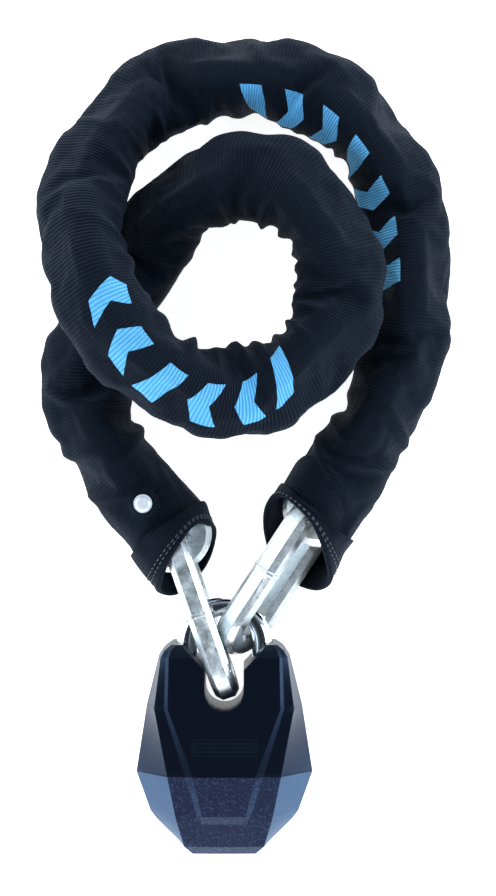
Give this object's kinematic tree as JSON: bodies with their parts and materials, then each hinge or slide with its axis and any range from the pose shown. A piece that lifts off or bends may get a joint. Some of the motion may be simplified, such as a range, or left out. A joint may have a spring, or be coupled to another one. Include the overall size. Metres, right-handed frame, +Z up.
{
  "type": "padlock and sleeved security chain",
  "caption": "Square-link security chain in a ribbed fabric sleeve, coiled on the floor and closed by a faceted padlock with a removable round-bar shackle.",
  "frame": {"origin": "centre of the padlock's flat back face, on the floor", "axes": "+Z up from the floor, +Y from the padlock towards the coil, +X to the right seen from above"},
  "size_m": [0.2041, 0.4075, 0.0968],
  "materials": {
    "cover_smooth": "satin navy black",
    "cover_grained": "spark-eroded grain",
    "badge_plate": "satin",
    "block_steel": "machined, hardened",
    "chrome": "polished",
    "zinc_link": "zinc plated",
    "brass_cylinder": "machined",
    "disc_steel": "stamped",
    "seal_rubber": "soft",
    "sleeve_fabric": "ribbed woven nylon with printed sky-blue marks",
    "cuff_fabric": "hemmed and double stitched",
    "screw_steel": "blackened"
  },
  "bodies": {
    "coil": {"sleeve": "sleeve_fabric", "cuff_left": "cuff_fabric", "cuff_right": "cuff_fabric", "rivet_left": "chrome", "rivet_right": "chrome", "end_link_left": "zinc_link", "end_link_right": "zinc_link", "chain_link_01": "zinc_link", "chain_link_02": "zinc_link", "chain_link_03": "zinc_link", "chain_link_04": "zinc_link", "chain_link_05": "zinc_link", "chain_link_06": "zinc_link", "chain_link_07": "zinc_link", "chain_link_08": "zinc_link", "chain_link_09": "zinc_link", "chain_link_10": "zinc_link", "chain_link_11": "zinc_link", "chain_link_12": "zinc_link", "chain_link_13": "zinc_link", "chain_link_14": "zinc_link", "chain_link_15": "zinc_link", "chain_link_16": "zinc_link", "chain_link_17": "zinc_link", "chain_link_18": "zinc_link", "chain_link_19": "zinc_link", "chain_link_20": "zinc_link", "chain_link_21": "zinc_link", "chain_link_22": "zinc_link", "chain_link_23": "zinc_link", "chain_link_24": "zinc_link", "chain_link_25": "zinc_link"},
    "shackle": {"shackle": "chrome"},
    "padlock": {"cover_upper": "cover_smooth", "cover_lower": "cover_grained", "badge": "badge_plate", "lock_body": "block_steel", "cylinder_housing": "brass_cylinder", "retaining_pin": "disc_steel", "shackle_seal_left": "seal_rubber", "shackle_seal_right": "seal_rubber", "cover_screws": "screw_steel", "keyhole_cover_rivet": "chrome"},
    "cylinder": {"plug": "brass_cylinder", "anti_drill_plate": "block_steel", "lock_discs": "disc_steel", "sidebar": "disc_steel", "cam": "block_steel"},
    "ball_left": {"locking_ball_left": "chrome"},
    "ball_right": {"locking_ball_right": "chrome"},
    "dust_cover": {"keyhole_cover": "screw_steel"}
  },
  "joints": [
    {"name": "padlock_swing", "type": "hinge", "parent": "coil", "child": "shackle", "pos_m": [0.002, 0.07, 0.019], "axis": [0.9833, 0.1822, 0], "range_deg": [-7, 0]},
    {"name": "padlock_slide", "type": "slide", "parent": "shackle", "child": "padlock", "axis": [0, -1, 0], "range_m": [0, 0.06]},
    {"name": "plug_turn", "type": "hinge", "parent": "padlock", "child": "cylinder", "pos_m": [0, -0.02, 0.019], "axis": [0, 1, 0], "range_deg": [0, 90]},
    {"name": "ball_left_slide", "type": "slide", "parent": "padlock", "child": "ball_left", "axis": [-1, 0, 0], "range_m": [0, 0.0034]},
    {"name": "ball_right_slide", "type": "slide", "parent": "padlock", "child": "ball_right", "axis": [1, 0, 0], "range_m": [0, 0.00341]},
    {"name": "dust_cover_turn", "type": "hinge", "parent": "padlock", "child": "dust_cover", "pos_m": [0.011, -0.05, 0.019], "axis": [0, -1, 0], "range_deg": [0, 90]}
  ],
  "couplings": [
    {"joint": "plug_turn", "follows": "ball_left_slide", "rad_per_m": 461.98},
    {"joint": "ball_right_slide", "follows": "ball_left_slide", "ratio": 1}
  ]
}
